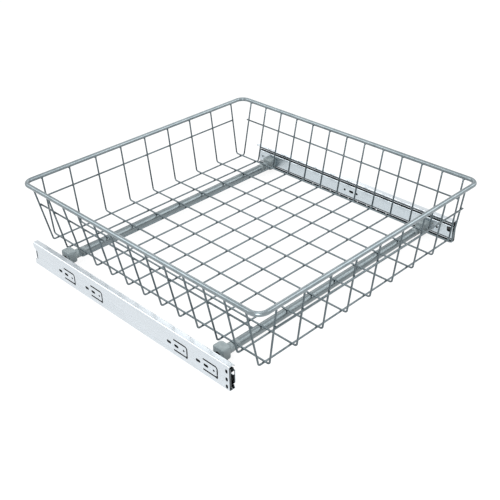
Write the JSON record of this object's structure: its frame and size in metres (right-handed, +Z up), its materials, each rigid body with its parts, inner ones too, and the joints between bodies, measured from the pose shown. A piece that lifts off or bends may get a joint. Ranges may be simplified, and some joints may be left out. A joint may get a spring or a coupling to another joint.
{
  "type": "pull-out wire basket",
  "caption": "Wire mesh basket with flared sides and a thick rim rod, carried by cross tubes with moulded end fittings on telescopic ball slides.",
  "frame": {"origin": "middle of the footprint, on the surface that the slides' lower edges stand on", "axes": "+X from the left slide to the right slide, -Y the way the basket pulls out, +Z up"},
  "size_m": [0.5886, 0.5994, 0.1431],
  "materials": {
    "coated_steel": "satin silver-grey coating on drawn steel wire, rod and tube",
    "grey_plastic": "moulded grey plastic with a slight green cast",
    "zinc_sheet": "bright zinc-plated rolled sheet",
    "cage_steel": "plain rolled sheet, lightly greased",
    "ball_steel": "polished bearing steel",
    "black_plastic": "moulded black plastic",
    "screw_steel": "zinc-plated screw"
  },
  "bodies": {
    "right_cabinet": {"right_cabinet_member": "zinc_sheet"},
    "basket": {"rim_rod": "coated_steel", "cross_wire_01": "coated_steel", "cross_wire_02": "coated_steel", "cross_wire_03": "coated_steel", "cross_wire_04": "coated_steel", "cross_wire_05": "coated_steel", "cross_wire_06": "coated_steel", "cross_wire_07": "coated_steel", "cross_wire_08": "coated_steel", "cross_wire_09": "coated_steel", "cross_wire_10": "coated_steel", "cross_wire_11": "coated_steel", "cross_wire_12": "coated_steel", "cross_wire_13": "coated_steel", "length_wire_1": "coated_steel", "length_wire_2": "coated_steel", "length_wire_3": "coated_steel", "length_wire_4": "coated_steel", "length_wire_5": "coated_steel", "length_wire_6": "coated_steel", "length_wire_7": "coated_steel", "length_wire_8": "coated_steel", "length_wire_9": "coated_steel", "right_mid_wire": "coated_steel", "left_mid_wire": "coated_steel", "back_mid_wire": "coated_steel", "front_mid_wire": "coated_steel", "front_tube": "coated_steel", "rear_tube": "coated_steel", "front_right_fitting": "grey_plastic", "rear_right_fitting": "grey_plastic", "front_left_fitting": "grey_plastic", "rear_left_fitting": "grey_plastic", "right_drawer_member": "zinc_sheet", "right_fitting_screws": "screw_steel", "right_lever_rivet": "zinc_sheet"},
    "right_intermediate": {"right_intermediate_member": "zinc_sheet"},
    "right_outer_cage": {"right_outer_ball_cage": "cage_steel", "right_outer_balls": "ball_steel"},
    "right_inner_cage": {"right_inner_ball_cage": "cage_steel", "right_inner_balls": "ball_steel"},
    "right_lever": {"right_release_lever": "black_plastic"},
    "left_cabinet": {"left_cabinet_member": "zinc_sheet"},
    "left_drawer": {"left_drawer_member": "zinc_sheet", "left_fitting_screws": "screw_steel", "left_lever_rivet": "zinc_sheet"},
    "left_intermediate": {"left_intermediate_member": "zinc_sheet"},
    "left_outer_cage": {"left_outer_ball_cage": "cage_steel", "left_outer_balls": "ball_steel"},
    "left_inner_cage": {"left_inner_ball_cage": "cage_steel", "left_inner_balls": "ball_steel"},
    "left_lever": {"left_release_lever": "black_plastic"}
  },
  "joints": [
    {"name": "basket_pull", "type": "slide", "parent": "right_cabinet", "child": "basket", "axis": [0, -1, 0], "range_m": [0, 0.5]},
    {"name": "right_intermediate_slide", "type": "slide", "parent": "right_cabinet", "child": "right_intermediate", "axis": [0, -1, 0], "range_m": [0, 0.25]},
    {"name": "right_outer_cage_roll", "type": "slide", "parent": "right_cabinet", "child": "right_outer_cage", "axis": [0, -1, 0], "range_m": [0, 0.125]},
    {"name": "right_inner_cage_roll", "type": "slide", "parent": "right_cabinet", "child": "right_inner_cage", "axis": [0, -1, 0], "range_m": [0, 0.375]},
    {"name": "left_slide_mounting", "type": "slide", "parent": "right_cabinet", "child": "left_cabinet", "axis": [1, 0, 0], "range_m": [0, 0.0207]},
    {"name": "left_drawer_slide", "type": "slide", "parent": "left_cabinet", "child": "left_drawer", "axis": [0, -1, 0], "range_m": [0, 0.5]},
    {"name": "left_intermediate_slide", "type": "slide", "parent": "left_cabinet", "child": "left_intermediate", "axis": [0, -1, 0], "range_m": [0, 0.25]},
    {"name": "left_outer_cage_roll", "type": "slide", "parent": "left_cabinet", "child": "left_outer_cage", "axis": [0, -1, 0], "range_m": [0, 0.125]},
    {"name": "left_inner_cage_roll", "type": "slide", "parent": "left_cabinet", "child": "left_inner_cage", "axis": [0, -1, 0], "range_m": [0, 0.375]},
    {"name": "right_lever_press", "type": "hinge", "parent": "basket", "child": "right_lever", "pos_m": [0.2847, -0.216, 0.02585], "axis": [1, 0, 0], "range_deg": [0, 5], "stiffness_Nm_per_rad": 0.02, "springref_deg": -5.73},
    {"name": "left_lever_press", "type": "hinge", "parent": "left_drawer", "child": "left_lever", "pos_m": [-0.2847, -0.216, 0.02585], "axis": [1, 0, 0], "range_deg": [0, 5], "stiffness_Nm_per_rad": 0.02, "springref_deg": -5.73}
  ],
  "couplings": [
    {"joint": "right_intermediate_slide", "follows": "basket_pull", "ratio": 0.5},
    {"joint": "right_outer_cage_roll", "follows": "basket_pull", "ratio": 0.25},
    {"joint": "right_inner_cage_roll", "follows": "basket_pull", "ratio": 0.75},
    {"joint": "left_drawer_slide", "follows": "basket_pull", "ratio": 1},
    {"joint": "left_intermediate_slide", "follows": "basket_pull", "ratio": 0.5},
    {"joint": "left_outer_cage_roll", "follows": "basket_pull", "ratio": 0.25},
    {"joint": "left_inner_cage_roll", "follows": "basket_pull", "ratio": 0.75}
  ]
}
